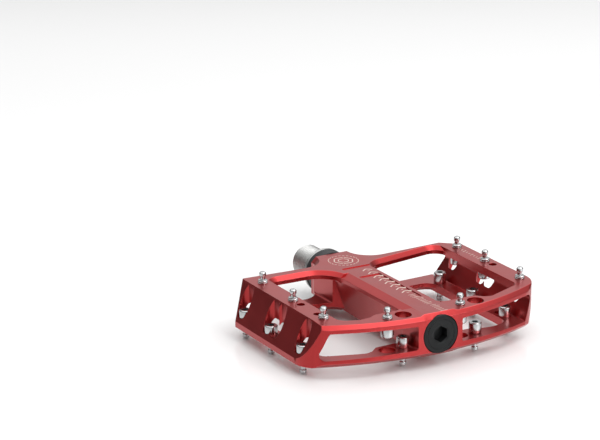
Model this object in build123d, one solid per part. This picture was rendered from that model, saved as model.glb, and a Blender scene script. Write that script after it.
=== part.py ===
"""Flat bicycle pedal: machined aluminium platform, steel axle, bearings and grip pins.

Millimetres.  The axle lies along Y: the origin is on its axis, on the shoulder that seats
on the crank arm, and +Y points outboard.  +Z is up, square to the two tread faces.
Face A is the upper face (+Z), face B the lower one.  The platform looks the same after a
half turn about the axle, so what is made for face A is turned over for face B.
"""
from build123d import *
from math import cos, pi
import os

# --- platform: overall sizes -------------------------------------------------------------
WIDTH = 110.0           # across the platform, lip to lip
THICKNESS = 18.0        # between the two tread faces
HUB_START_Y = 7.1       # inboard end of the hub
END_Y = 93.7            # furthest outboard point, on the axle axis
LEAN = 6.8              # how far each side wall leans in from one face to the other
LIP_BAND = 2.4          # height of the upright edge that each lip has below its face
PLATE = 3.4             # tread plate thickness
WALL = 3.5              # side wall thickness, measured along X
END_DROP = 0.7          # each face falls by this much towards the outboard end
END_DROP_START = 17.7   # length of that fall, inboard of END_Y
END_PLATE = 3.7         # plate thickness in the outboard bar

# --- platform: outline seen along Z --------------------------------------------------------
END_RADIUS = 128.0      # outboard edge
CORNER_RADIUS = 14.0    # outboard corners
CORNER_CUT_X = 9.7      # inboard corner cut, along X
CORNER_CUT_Y = 8.4      # inboard corner cut, along Y
RAIL_Y = 14.9           # inboard edge of the rail, at the corner cut
RAIL_RISE = 1.6         # how much further outboard that edge is at the hub
HUB_HALF = 9.8          # half width of the hub
HUB_BLEND = 9.0         # concave radius from hub to rail
EDGE_BEVEL = 1.3        # bevel on the outboard edges of both faces
HUB_BEVEL = 2.2         # bevel on the hub's edges

# --- platform: windows and spine -----------------------------------------------------------
LIP = 9.0               # tread width beside the wide window
TREAD = 8.5             # tread width beside the narrow window
SPINE_WIDE = 10.3       # spine edge at the narrow window, from the axis
SPINE_NARROW = 6.6      # spine edge at the wide window, from the axis
END_BAR = 12.0          # width of the outboard bar, at the spine
BAR_BUMP = 2.0          # how much further outboard the windows reach beside the pins
RAIL_WIDTH = 9.0        # width of the inboard rail, beside the hub
WINDOW_BEVEL = 1.7      # bevel on the inboard edges of the windows
BEVEL_REACH = 9.0       # how far outboard of the rail that bevel runs
SPINE_OVERLAP = 0.2     # how far the window outlines reach over the spine, which trims them
SPINE_BEVEL_X = 3.7     # bevel along the spine's edge, across
SPINE_BEVEL_Z = 1.7     # bevel along the spine's edge, down
SPINE_STEP = 0.35       # depth of each of the two steps in the spine's face
STEP_INSET = 1.6        # how much narrower the lower step is, each side
STEP_LENGTHS = (11.5, 11.0, 32.8, 11.5)   # end bar to step, step, lower step, step

# --- axle ------------------------------------------------------------------------------------
THREAD_R = 14.288 / 2   # 9/16 in pedal thread
THREAD_LENGTH = 14.5
THREAD_CHAMFER = 0.9
FLANGE_R = 9.6
FLANGE_CONE = 0.5       # length of the cone on the flange's crank side
FLANGE_LENGTH = 1.2     # length of its full-width rim
CONE_DROP = 1.3         # how much smaller the shoulder is than the flange
KEY_WIDTH = 6.0         # hexagon socket, across flats
KEY_DEPTH = 9.0
JOURNAL_R = 6.0         # inboard journal, in the bushing
SHAFT_R = 4.5           # between the journals
TAPER_LENGTH = 12.0
BEARING_SEAT_R = 4.0    # outboard journal, in the bearings
NUT_THREAD_R = 3.5
RUNNING = 0.05          # radial clearance of every running fit
THREAD_GAP = 0.05       # radial gap between a screw and its hole

# --- bushing, seal and bearings --------------------------------------------------------------
SEAL_R = 9.7
SPIGOT_LIP = 0.8          # seal's spigot beyond the bushing
SEAL_SPIGOT_LENGTH = 2.4
BUSH_WALL = 0.95
BUSH_LENGTH = 12.0
RELIEF = 0.4            # gap around the shaft between the bushing and the bearings
BEARING_R = 7.0
BEARING_LENGTH = 4.0
BEARING_START_Y = 70.5
BEARINGS = 2
BALLS = 11
BALL_R = 0.794
RACE_GROOVE = 0.374     # depth of the ball groove in each bearing ring
BALL_PLAY = 0.03        # gap between a ball and its raceway
CAGE_GAP = 0.1          # gap between the cage and each bearing ring
CAGE_WIDTH = 2.2
CAGE_PLAY = 0.08        # gap between a ball and its cage pocket
SHIELD = 0.25
SHIELD_STEP = 0.35      # depth of the shield's seat in the outer ring
SHIELD_GAP = 0.15       # gap between a shield and the inner ring

# --- outboard end ------------------------------------------------------------------------------
WASHER_R = 5.4
WASHER = 0.8
NUT_WIDTH = 10.0        # lock nut, across flats
NUT_LENGTH = 4.5
CAP_RIM = 0.6           # cap's flange beyond its screw
CAP_FLANGE = 2.4
CAP_RECESS = 0.2        # cap face below the furthest outboard point
CAP_CLEAR = 0.4         # cap's screw beyond the bearings, which go in before it
CAP_SCREW_LENGTH = 4.6
CAP_KEY_WIDTH = 6.0
CAP_KEY_DEPTH = 3.6
CAP_BEVEL = 0.5
CAP_FIT = 0.08          # gap around the cap's flange
O_RING = 1.0            # section of the cap's O-ring

# --- grip pins ---------------------------------------------------------------------------------
PIN_HEAD_R = 2.65
PIN_HEAD = 4.4
PIN_KEY_WIDTH = 2.5
PIN_KEY_DEPTH = 2.2
PIN_SCREW_R = 2.0
PIN_BASE = 1.3          # screw thread that stands out of the plate
PIN_NECK_R = 1.05
PIN_NECK = 1.5
PIN_TIP_R = 1.4
PIN_TIP = 1.8
PIN_EDGE = 0.35         # chamfer on head and tip
ROW_INSET = 2.45        # heads of the pins beside the narrow window, from the wall side
ROW_FIRST = 10.4        # first pin of that row, outboard of the rail's edge
ROW_LAST = 18.8         # last pin of that row, inboard of the outboard end
ROW_MIDDLE = 0.51       # place of the middle pin between those two
HEAD_GAP = 0.3          # gap between the lip pins' heads and the wall beside them
LIP_FIRST = 10.7
LIP_LAST = 20.7
LIP_MIDDLE = 0.454
END_FAR = 20.7          # far pin of the outboard bar, from the axis
END_NEAR = 10.75        # head of its near pin, from the axis
PIN_END_INSET = 7.2     # pins on the outboard bar, inboard of the outboard end
SPARE_R = 1.65          # threaded holes with no pin
SPARE_GAP_ROW = 6.3     # spare hole of the row, outboard of the middle pin
SPARE_GAP_LAST = 4.8    # second spare hole of the row, inboard of the last pin
SPARE_GAP_LIP = 6.0     # spare hole of the lip, outboard of the middle pin
KEY_ROOM = 0.75         # room around a pin's head in the key holes
POCKET_ROOM = 1.05      # room beside a pin's head in the key pockets
POCKET_CORNER = 2.6
POCKET_SKIN = 0.15      # metal left between a pocket and the face's edge

# --- worked out from the sizes above ------------------------------------------------------------
HALF_W = WIDTH / 2
HALF_T = THICKNESS / 2
CHANNEL = HALF_T - PLATE                      # half height of the channels
PIN_END_Y = END_Y - PIN_END_INSET
END_FACE = HALF_T - END_DROP * (END_DROP_START - PIN_END_INSET) / END_DROP_START
END_CHANNEL = END_FACE - END_PLATE            # half height of the slots in the outboard bar
FACE_EDGE = HALF_W - LEAN                     # where a face ends on its wall side
LIP_EDGE = HALF_W - LIP                       # wide window's outer edge
TREAD_EDGE = FACE_EDGE - TREAD                # narrow window's outer edge
PIN_ROW_X = FACE_EDGE - ROW_INSET - PIN_HEAD_R
PIN_LIP_X = FACE_EDGE + POCKET_SKIN + HEAD_GAP + PIN_HEAD_R
PIN_END_X = (END_FAR, -(END_NEAR + PIN_HEAD_R))
ACCESS_R = PIN_HEAD_R + KEY_ROOM              # lets the key reach the other face's end pins
POCKET_HALF = PIN_HEAD_R + POCKET_ROOM        # half width of the key pockets
BAR_Y = END_Y - END_BAR                       # outboard edge of the windows, at the spine
FLANGE_END = FLANGE_CONE + FLANGE_LENGTH
SEAL_START = FLANGE_END + 0.1
BUSH_R = JOURNAL_R + RUNNING + BUSH_WALL
SEAL_SPIGOT_R = BUSH_R + SPIGOT_LIP
RELIEF_R = JOURNAL_R + RELIEF
BUSH_START = HUB_START_Y + SEAL_SPIGOT_LENGTH
BUSH_END = BUSH_START + BUSH_LENGTH
BEARING_END = BEARING_START_Y + BEARINGS * BEARING_LENGTH
CAP_FACE = END_Y - CAP_RECESS
CAP_SEAT = CAP_FACE - CAP_FLANGE
CAP_END = CAP_SEAT - CAP_SCREW_LENGTH
PITCH_R = (BEARING_R + BEARING_SEAT_R) / 2    # circle of the ball centres
RACE_WALL = (BEARING_R - BEARING_SEAT_R) / 2 - BALL_R - BALL_PLAY + RACE_GROOVE
CAP_SCREW_R = BEARING_R + CAP_CLEAR
CAP_R = CAP_SCREW_R + CAP_RIM
BIG = 400.0


def spread(first, last, share):
    """Three places along Y: two set from the rail and the outboard end, one between."""
    start = RAIL_Y + first
    end = END_Y - last
    return (start, start + share * (end - start), end)


PIN_ROW_Y = spread(ROW_FIRST, ROW_LAST, ROW_MIDDLE)
PIN_LIP_Y = spread(LIP_FIRST, LIP_LAST, LIP_MIDDLE)
SPARE_ROW_Y = (PIN_ROW_Y[1] + SPARE_GAP_ROW, PIN_ROW_Y[2] - SPARE_GAP_LAST)
SPARE_LIP_Y = PIN_LIP_Y[1] + SPARE_GAP_LIP


# --- helpers -------------------------------------------------------------------------------------
def along_z(sketch, low, high):
    """Solid of a plan sketch between two heights."""
    return extrude(Plane.XY.offset(low) * sketch, amount=high - low)


def along_y(sketch, start, end):
    """Solid of a section drawn in X and Z, between two places on the axle."""
    return extrude(Plane.XZ.offset(-start) * sketch, amount=start - end)


def turned_over(shape):
    """The same shape on the other tread face."""
    return Rot(0, 180, 0) * shape


def outline(corners):
    """Closed outline of (x, y, radius) corners."""
    points = [(x, y) for x, y, radius in corners]
    radii = [radius for x, y, radius in corners]
    return make_face(FilletPolyline(*points, radius=radii, close=True))


def tube(outer, inner, start, end):
    """Ring about the axle axis; inner 0 makes a plain cylinder."""
    ring = Circle(outer)
    if inner:
        ring -= Circle(inner)
    return along_y(ring, start, end)


def turned(profile):
    """Solid of revolution about the axle axis of (radius, y) points."""
    return revolve(make_face(Polyline(*profile, close=True)), Axis.Y)


def hexagon(width):
    """Hexagon with this width across its flats."""
    return RegularPolygon(width / 2, 6, major_radius=False)


def wall_x(height):
    """Outer face of the +X side wall at this height, above the band of face B's lip."""
    return FACE_EDGE + (HALF_T - height) * LEAN / (THICKNESS - LIP_BAND)


# --- platform ------------------------------------------------------------------------------------
def plan():
    """Outline of the platform seen along Z."""
    cut_x = HALF_W - CORNER_CUT_X
    hub_rail_x = HUB_HALF + HUB_BLEND
    right = [
        (HUB_HALF, HUB_START_Y),
        (HUB_HALF, RAIL_Y + RAIL_RISE),
        (cut_x, RAIL_Y),
        (HALF_W, RAIL_Y + CORNER_CUT_Y),
        (HALF_W, END_Y + 1),
    ]
    left = [(-x, y) for x, y in reversed(right)]
    shape = make_face(Polyline(*right, *left, close=True))
    shape &= Pos(0, END_Y - END_RADIUS) * Circle(END_RADIUS)
    middle_y = (RAIL_Y + END_Y) / 2
    outboard = [v for v in shape.vertices() if v.Y > middle_y]
    shape = fillet(outboard, CORNER_RADIUS)
    inside = [v for v in shape.vertices() if abs(v.X) < hub_rail_x and v.Y > HUB_START_Y + 1]
    return fillet([v for v in inside if v.Y < middle_y], HUB_BLEND - 0.5)


def rim():
    """Round the outboard end with a bevel on both faces; it fades out in the corners."""
    start = HALF_T - END_DROP - EDGE_BEVEL
    rise = HALF_T - start
    upper = Pos(0, 0, start + rise / 2) * Cone(END_RADIUS, END_RADIUS - rise, rise)
    disc = Cylinder(END_RADIUS, 2 * start) + upper + turned_over(upper)
    return Pos(0, END_Y - END_RADIUS) * disc


def blank():
    """Platform before anything is cut through it: leaning sides, falling outboard end."""
    band = HALF_T - LIP_BAND
    section = Polyline((-HALF_W, HALF_T), (FACE_EDGE, HALF_T), (HALF_W, -band),
                       (HALF_W, -HALF_T), (-FACE_EDGE, -HALF_T), (-HALF_W, band), close=True)
    solid = along_y(make_face(section), HUB_START_Y, END_Y) & along_z(plan(), -HALF_T, HALF_T)
    solid &= rim()
    fall = Polyline((END_Y - END_DROP_START, HALF_T), (END_Y + 1, HALF_T),
                    (END_Y + 1, HALF_T - END_DROP * (1 + 1 / END_DROP_START)), close=True)
    wedge = extrude(Plane.YZ * make_face(fall), amount=HALF_W, both=True)
    shoulder = HALF_T - 1.5 * END_DROP
    boss = Polyline((-SPINE_WIDE, shoulder), (-SPINE_NARROW, HALF_T), (SPINE_NARROW, HALF_T),
                    (SPINE_WIDE, shoulder), close=True)
    wedge -= along_y(make_face(boss), HUB_START_Y, END_Y + 2)
    return solid - wedge - turned_over(wedge)


def channel(half_height_in, half_height_out, start, end):
    """Cutter for the space between the plates, beside the hub on the +X side."""
    low = wall_x(-half_height_out) - WALL
    high = wall_x(half_height_out) - WALL
    corners = [
        (SPINE_WIDE, -half_height_in, 0.8),
        (low, -half_height_out, 2.4),
        (high, half_height_out, 0.4),
        (SPINE_WIDE, half_height_in, 0.8),
    ]
    return along_y(outline(corners), start, end)


def narrow_window():
    """Window of face A beside the +X wall."""
    inboard = RAIL_Y + RAIL_WIDTH
    reach = PIN_END_X[0]
    return outline([
        (SPINE_WIDE - SPINE_OVERLAP, inboard - 0.3, 12.0),
        (TREAD_EDGE, inboard - 0.6, 5.0),
        (TREAD_EDGE, BAR_Y - 0.7, 5.0),
        (reach + 10.8, BAR_Y + BAR_BUMP, 5.0),
        (reach + 5.8, BAR_Y + BAR_BUMP - 0.5, 2.0),
        (reach + 2.8, BAR_Y, 2.5),
        (SPINE_WIDE - SPINE_OVERLAP, BAR_Y, 4.0),
    ])


def wide_window():
    """Window of face A on the lip side, -X."""
    inboard = RAIL_Y + RAIL_WIDTH
    reach = PIN_END_X[0]
    return outline([
        (SPINE_OVERLAP - SPINE_NARROW, inboard + 1.9, 9.0),
        (-LIP_EDGE, inboard - 5.1, 5.5),
        (-LIP_EDGE, BAR_Y - 2.7, 4.0),
        (-reach - 9.0, BAR_Y + BAR_BUMP + 1.6, 4.0),
        (-reach - 6.0, BAR_Y + BAR_BUMP + 1.1, 2.0),
        (-reach - 2.6, BAR_Y, 2.5),
        (SPINE_OVERLAP - SPINE_NARROW, BAR_Y, 4.0),
    ])


def spine_section():
    """Section of the spine between the windows."""
    return make_face(Polyline((-SPINE_NARROW, HALF_T), (SPINE_WIDE, HALF_T),
                              (SPINE_NARROW, -HALF_T), (-SPINE_WIDE, -HALF_T), close=True))


def window_cutters():
    """Cutters for the two windows of face A, shaped to the leaning sides of the spine."""
    spine = along_y(spine_section(), HUB_START_Y, END_Y)
    beside_hub = Box(2 * SPINE_WIDE, BIG, BIG)
    cutters = []
    for window in (narrow_window(), wide_window()):
        plate = along_z(window, CHANNEL - 1.0, HALF_T + 1)
        hub_side = along_z(window, -CHANNEL, HALF_T + 1) & beside_hub
        cutters.append(plate - spine)
        if hub_side.solids():
            cutters.append(hub_side - spine)
    return cutters


def spine_cutters():
    """Bevel and shallow steps on face A of the spine."""
    bevel = make_face(Polyline((SPINE_WIDE - SPINE_BEVEL_X, HALF_T), (SPINE_WIDE + 1, HALF_T),
                               (SPINE_WIDE + 1, HALF_T - SPINE_BEVEL_Z * (1 + 1 / SPINE_BEVEL_X)),
                               close=True))
    to_step, first, lower, last = STEP_LENGTHS
    outboard = END_Y - to_step
    inboard = outboard - first - lower - last
    upper_x = SPINE_WIDE - SPINE_BEVEL_X
    upper = Rectangle(upper_x + SPINE_NARROW + 1, outboard - inboard, align=(Align.MAX, Align.MIN))
    lower_width = upper_x + SPINE_NARROW - 2 * STEP_INSET
    deep = Rectangle(lower_width, lower, align=(Align.MAX, Align.MIN))
    return [
        along_y(bevel, inboard + last / 2, outboard),
        along_z(Pos(upper_x, inboard) * upper, HALF_T - SPINE_STEP, HALF_T + 1),
        along_z(Pos(upper_x - STEP_INSET, inboard + last) * deep, HALF_T - 2 * SPINE_STEP, HALF_T),
    ]


def pin_hole(x, y, radius, seat):
    """Hole through face A's plate, from the pin's seat outwards."""
    return Pos(x, y) * Cylinder(radius, HALF_T + 1 - seat + 0.5,
                                align=(Align.CENTER, Align.CENTER, Align.MIN)).moved(
                                    Location((0, 0, seat - 0.5)))


def pocket(y):
    """Key pocket for a lip pin of face A, cut up through the -X wall from face B."""
    inner = FACE_EDGE + POCKET_SKIN
    outer = PIN_LIP_X + PIN_HEAD_R + HEAD_GAP / 2
    shape = Rectangle(outer - inner, 2 * POCKET_HALF, align=(Align.MAX, Align.CENTER))
    shape = fillet(shape.vertices(), POCKET_CORNER)
    return along_z(Pos(-inner, y) * shape, -HALF_T - 1, CHANNEL)


def pin_places():
    """(name, x, y, seat height) of the pins of face A."""
    places = [(f"row_{n}", PIN_ROW_X, y, CHANNEL) for n, y in enumerate(PIN_ROW_Y, 1)]
    places += [(f"lip_{n}", -PIN_LIP_X, y, CHANNEL) for n, y in enumerate(PIN_LIP_Y, 1)]
    places += [(f"end_{n}", x, PIN_END_Y, END_CHANNEL) for n, x in enumerate(PIN_END_X, 1)]
    return places


def face_cutters():
    """Everything that is cut for face A and then again, turned over, for face B."""
    bar_start = BAR_Y - 2.0
    cutters = [
        channel(CHANNEL, CHANNEL, 0, bar_start),
        channel(END_CHANNEL, CHANNEL, bar_start, END_Y + 1),
    ]
    cutters += window_cutters()
    cutters += window_bevels()
    cutters += spine_cutters()
    cutters += [pin_hole(x, y, PIN_SCREW_R + THREAD_GAP, z) for name, x, y, z in pin_places()]
    cutters += [pin_hole(PIN_ROW_X, y, SPARE_R, CHANNEL) for y in SPARE_ROW_Y]
    cutters += [pin_hole(-PIN_LIP_X, SPARE_LIP_Y, SPARE_R, CHANNEL)]
    cutters += [pin_hole(-x, PIN_END_Y, ACCESS_R, END_CHANNEL) for x in PIN_END_X]
    cutters += [pocket(y) for y in (*PIN_LIP_Y, SPARE_LIP_Y)]
    return cutters


def bores():
    """Stepped bore along the axle axis."""
    return [
        tube(SEAL_SPIGOT_R, 0, HUB_START_Y - 1, BUSH_START),
        tube(BUSH_R, 0, BUSH_START - 1, BUSH_END),
        tube(RELIEF_R, 0, BUSH_END - 1, BEARING_START_Y + 1),
        tube(BEARING_R, 0, BEARING_START_Y, CAP_END + 1),
        tube(CAP_SCREW_R + THREAD_GAP, 0, CAP_END - 0.4, CAP_SEAT + 1),
        tube(CAP_R + CAP_FIT, 0, CAP_SEAT, END_Y + 1),
    ]


def on_face(edge):
    """True for an edge that lies in either tread face."""
    height = edge.bounding_box()
    flat = height.max.Z - height.min.Z < 1e-3
    return flat and abs(abs(height.max.Z) - HALF_T) < 1e-3


def hub_edges(solid):
    """Face edges along the sides of the hub and its concave blends."""
    found = []
    for edge in solid.edges():
        middle = edge.center()
        if on_face(edge) and middle.Y < RAIL_Y + 1 and HUB_HALF - 0.1 < abs(middle.X) < 17:
            found.append(edge)
    return found


def window_bevels():
    """Cutters for the bevel along the inboard edges of face A's windows."""
    start = HALF_T - WINDOW_BEVEL
    spans = [
        (narrow_window(), SPINE_WIDE - WINDOW_BEVEL, TREAD_EDGE),
        (wide_window(), -LIP_EDGE, -SPINE_NARROW),
    ]
    cutters = []
    for window, left, right in spans:
        rising = extrude(Plane.XY.offset(start) * window, amount=WINDOW_BEVEL + 0.01, taper=-45)
        reach = Pos((left + right) / 2, RAIL_Y + RAIL_WIDTH) * Box(right - left, 2 * BEVEL_REACH, BIG)
        cutters.append(rising & reach)
    return cutters


def pedal_body():
    body = blank()
    body = chamfer(hub_edges(body), HUB_BEVEL)
    cutters = face_cutters()
    cutters += [turned_over(cutter) for cutter in cutters]
    for cutter in cutters + bores():
        body -= cutter
    return body


# --- axle and what turns with it -----------------------------------------------------------------
def axle():
    journal_end = BUSH_END + 2.0
    seat_start = BEARING_START_Y - 1.0
    nut_end = BEARING_END + WASHER + NUT_LENGTH + 0.8
    profile = [
        (0, -THREAD_LENGTH),
        (THREAD_R - THREAD_CHAMFER, -THREAD_LENGTH),
        (THREAD_R, -THREAD_LENGTH + THREAD_CHAMFER),
        (THREAD_R, 0),
        (FLANGE_R - CONE_DROP, 0),
        (FLANGE_R, FLANGE_CONE),
        (FLANGE_R, FLANGE_END),
        (JOURNAL_R, FLANGE_END),
        (JOURNAL_R, journal_end),
        (SHAFT_R, journal_end + TAPER_LENGTH),
        (SHAFT_R + 0.4, BEARING_START_Y),
        (BEARING_SEAT_R, BEARING_START_Y),
        (BEARING_SEAT_R, BEARING_END),
        (NUT_THREAD_R, BEARING_END),
        (NUT_THREAD_R, nut_end - 0.5),
        (NUT_THREAD_R - 0.5, nut_end),
        (0, nut_end),
    ]
    socket = along_y(hexagon(KEY_WIDTH), -THREAD_LENGTH - 1, -THREAD_LENGTH + KEY_DEPTH)
    return turned(profile) - socket


def inboard_seal():
    ring = tube(SEAL_R, JOURNAL_R + RUNNING, SEAL_START, HUB_START_Y)
    ring = chamfer(ring.edges().sort_by(lambda e: -e.length)[:2], 0.4)
    return ring + tube(SEAL_SPIGOT_R, JOURNAL_R + RUNNING, HUB_START_Y - 0.5, BUSH_START)


def inboard_bushing():
    return tube(BUSH_R, JOURNAL_R + RUNNING, BUSH_START, BUSH_END)


def ball_turns():
    """Angles of the balls about the axle, in degrees."""
    return [360 / BALLS * (number + 0.25) for number in range(BALLS)]


def raceway(start):
    """Torus that cuts the ball groove into both rings."""
    groove = Pos(PITCH_R, start + BEARING_LENGTH / 2) * Circle(BALL_R + BALL_PLAY)
    return revolve(groove, Axis.Y)


def outer_ring(start):
    end = start + BEARING_LENGTH
    inner = BEARING_R - RACE_WALL
    ring = tube(BEARING_R, inner, start, end) - raceway(start)
    seat = inner + SHIELD_STEP
    ring -= tube(seat, 0, start - 1, start + SHIELD_STEP)
    return ring - tube(seat, 0, end - SHIELD_STEP, end + 1)


def inner_ring(start):
    ring = tube(BEARING_SEAT_R + RACE_WALL, BEARING_SEAT_R, start, start + BEARING_LENGTH)
    return ring - raceway(start)


def balls(start):
    ball = Pos(PITCH_R, start + BEARING_LENGTH / 2, 0) * Sphere(BALL_R)
    return [Rot(0, turn, 0) * ball for turn in ball_turns()]


def cage(start):
    middle = start + BEARING_LENGTH / 2
    outer = BEARING_R - RACE_WALL - CAGE_GAP
    inner = BEARING_SEAT_R + RACE_WALL + CAGE_GAP
    ring = tube(outer, inner, middle - CAGE_WIDTH / 2, middle + CAGE_WIDTH / 2)
    for turn in ball_turns():
        hole = Pos(PITCH_R, middle, 0) * Rot(0, 90, 0) * Cylinder(BALL_R + CAGE_PLAY, 2 * BALL_R)
        ring -= Rot(0, turn, 0) * hole
    return ring


def shields(start):
    outer = BEARING_R - RACE_WALL + SHIELD_STEP
    inner = BEARING_SEAT_R + RACE_WALL + SHIELD_GAP
    end = start + BEARING_LENGTH
    near = tube(outer, inner, start + SHIELD_STEP - SHIELD, start + SHIELD_STEP)
    far = tube(outer, inner, end - SHIELD_STEP, end - SHIELD_STEP + SHIELD)
    return [near, far]


def lock_washer():
    return tube(WASHER_R, NUT_THREAD_R + THREAD_GAP, BEARING_END, BEARING_END + WASHER)


def lock_nut():
    start = BEARING_END + WASHER
    nut = along_y(hexagon(NUT_WIDTH), start, start + NUT_LENGTH)
    corner = NUT_WIDTH / 2 / cos(pi / 6)
    dome = turned([(0, start - 1), (corner, start - 1), (corner, start + NUT_LENGTH - 0.5),
                   (corner - 0.9, start + NUT_LENGTH), (0, start + NUT_LENGTH)])
    return (nut & dome) - tube(NUT_THREAD_R + THREAD_GAP, 0, start - 1, start + NUT_LENGTH + 1)


# --- outboard end --------------------------------------------------------------------------------
def end_cap():
    profile = [
        (0, CAP_END),
        (CAP_SCREW_R - 0.5, CAP_END),
        (CAP_SCREW_R, CAP_END + 0.5),
        (CAP_SCREW_R, CAP_SEAT - O_RING),
        (CAP_SCREW_R - O_RING * 0.8, CAP_SEAT - O_RING),
        (CAP_SCREW_R - O_RING * 0.8, CAP_SEAT),
        (CAP_R, CAP_SEAT),
        (CAP_R, CAP_FACE - CAP_BEVEL),
        (CAP_R - CAP_BEVEL, CAP_FACE),
        (0, CAP_FACE),
    ]
    return turned(profile) - along_y(hexagon(CAP_KEY_WIDTH), CAP_FACE - CAP_KEY_DEPTH, CAP_FACE + 1)


def cap_o_ring():
    inner = CAP_SCREW_R - O_RING * 0.8
    return tube(CAP_SCREW_R, inner, CAP_SEAT - O_RING, CAP_SEAT)


# --- grip pins -----------------------------------------------------------------------------------
def grip_pin():
    """Pin standing on its seat: the head hangs below height 0, the tip is up."""
    screw = PLATE + PIN_BASE
    neck = screw + PIN_NECK
    tip = neck + PIN_TIP
    profile = [
        (0, -PIN_HEAD),
        (PIN_HEAD_R - PIN_EDGE, -PIN_HEAD),
        (PIN_HEAD_R, -PIN_HEAD + PIN_EDGE),
        (PIN_HEAD_R, 0),
        (PIN_SCREW_R, 0),
        (PIN_SCREW_R, screw - PIN_EDGE),
        (PIN_SCREW_R - PIN_EDGE, screw),
        (PIN_NECK_R, screw),
        (PIN_NECK_R, neck),
        (PIN_TIP_R, neck),
        (PIN_TIP_R, tip - PIN_EDGE),
        (PIN_TIP_R - PIN_EDGE, tip),
        (0, tip),
    ]
    shape = revolve(Plane.XZ * make_face(Polyline(*profile, close=True)), Axis.Z)
    return shape - along_z(hexagon(PIN_KEY_WIDTH), -PIN_HEAD - 1, -PIN_HEAD + PIN_KEY_DEPTH)


def pins():
    """Every grip pin in its place, by name."""
    model = grip_pin()
    placed = {}
    for name, x, y, seat in pin_places():
        upper = Pos(x, y, seat) * model
        placed[f"grip_pin_a_{name}"] = upper
        placed[f"grip_pin_b_{name}"] = turned_over(upper)
    return placed


def bearings():
    """The pieces of each outboard bearing, by name."""
    nodes = {}
    for number in range(BEARINGS):
        start = BEARING_START_Y + number * BEARING_LENGTH
        name = f"bearing_{number + 1}"
        nodes[f"{name}_outer_ring"] = outer_ring(start)
        nodes[f"{name}_inner_ring"] = inner_ring(start)
        nodes[f"{name}_balls"] = Compound(children=[ball.solid() for ball in balls(start)])
        nodes[f"{name}_cage"] = cage(start)
        nodes[f"{name}_shields"] = Compound(children=[disc.solid() for disc in shields(start)])
    return nodes


def main():
    nodes = {
        "pedal_body": pedal_body(),
        "axle": axle(),
        "inboard_seal": inboard_seal(),
        "inboard_bushing": inboard_bushing(),
        "lock_washer": lock_washer(),
        "lock_nut": lock_nut(),
        "end_cap": end_cap(),
        "end_cap_o_ring": cap_o_ring(),
    }
    nodes.update(bearings())
    nodes.update(pins())
    os.makedirs("parts", exist_ok=True)
    for name, shape in nodes.items():
        export_step(shape, f"parts/{name}.step")


main()
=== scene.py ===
"""Looks of a flat bicycle pedal, laid out as a Blender add-on and run as a script.

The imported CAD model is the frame: metres, the axle along Y, the origin on the crank shoulder,
+Y outboard and +Z up.  Every new piece is built in place round that frame.
"""
from math import cos, hypot, pi, radians, sin

import bmesh
import bpy
from bpy.props import FloatProperty, FloatVectorProperty, IntProperty, PointerProperty
from mathutils import Matrix, Vector
from mathutils.bvhtree import BVHTree
from mathutils.kdtree import KDTree


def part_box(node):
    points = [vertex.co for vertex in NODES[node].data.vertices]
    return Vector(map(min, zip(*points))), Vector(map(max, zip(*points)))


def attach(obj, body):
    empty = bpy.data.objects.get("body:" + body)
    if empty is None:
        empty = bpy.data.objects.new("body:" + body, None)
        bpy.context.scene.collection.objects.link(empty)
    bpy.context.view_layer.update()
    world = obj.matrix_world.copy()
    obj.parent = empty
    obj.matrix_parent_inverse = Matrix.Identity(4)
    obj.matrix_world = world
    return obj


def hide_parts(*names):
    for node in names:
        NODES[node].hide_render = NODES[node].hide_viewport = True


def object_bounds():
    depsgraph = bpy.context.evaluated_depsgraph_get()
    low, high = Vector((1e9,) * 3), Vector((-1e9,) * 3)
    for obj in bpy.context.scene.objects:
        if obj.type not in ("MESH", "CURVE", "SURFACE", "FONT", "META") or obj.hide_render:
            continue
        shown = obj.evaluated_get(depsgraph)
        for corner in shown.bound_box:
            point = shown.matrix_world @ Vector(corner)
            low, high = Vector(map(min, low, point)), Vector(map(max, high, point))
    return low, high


bl_info = {
    "name": "Flat pedal",
    "version": (1, 0, 0),
    "blender": (4, 5, 0),
    "location": "3D View > Sidebar > Pedal",
    "description": "Builds the looks of a machined flat pedal around its CAD frame",
    "category": "Object",
}

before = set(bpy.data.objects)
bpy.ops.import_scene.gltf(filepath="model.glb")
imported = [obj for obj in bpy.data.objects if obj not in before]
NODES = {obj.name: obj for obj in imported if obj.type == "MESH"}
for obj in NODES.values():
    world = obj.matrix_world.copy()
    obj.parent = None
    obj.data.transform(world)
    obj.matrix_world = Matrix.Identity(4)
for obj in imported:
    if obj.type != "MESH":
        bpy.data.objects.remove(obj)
CAD_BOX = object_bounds()
MM = 0.001
TOUCH = 2e-6                  # points closer than this are one point
FLAT = radians(0.5)           # faces that turn less than this become one flat face
CROWD_STEP = 0.3 * MM         # spacing of the points that are compared along sharp edges
CROWD_NEAR = 0.12             # edges nearer than this share of the reach are one line
FOLD_AREA = 0.02 * MM * MM    # smallest folded face that counts
FOLD_LIFT = 0.22 * MM         # furthest a face may lie off the machined surface
FOLD_REACH = 0.6 * MM         # edges this near a fold stay unrounded
FOLD_TURN = -0.2              # a face whose normal agrees less than this is folded over
ROUNDING_TRIES = 4

PLATFORM = "platform"
AXLE_GROUP = "axle_group"
PIN_NAMES = [name for name in NODES if name.startswith("grip_pin_")]
HIDDEN_FINISHES = {
    "inboard_bushing": "bushing_bronze",
    "lock_washer": "zinc_steel",
    "lock_nut": "zinc_steel",
    "end_cap_o_ring": "o_ring_rubber",
    "outer_ring": "bearing_steel",
    "inner_ring": "bearing_steel",
    "balls": "bearing_steel",
    "cage": "bushing_bronze",
    "shields": "zinc_steel",
}


# --- sizes and colours that a user would change ----------------------------------------------
def size(label, text, millimetres, low=0.0):
    """A length property; its default is given in millimetres."""
    return FloatProperty(name=label, description=text, default=millimetres * MM, min=low,
                         precision=5, unit="LENGTH")


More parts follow.
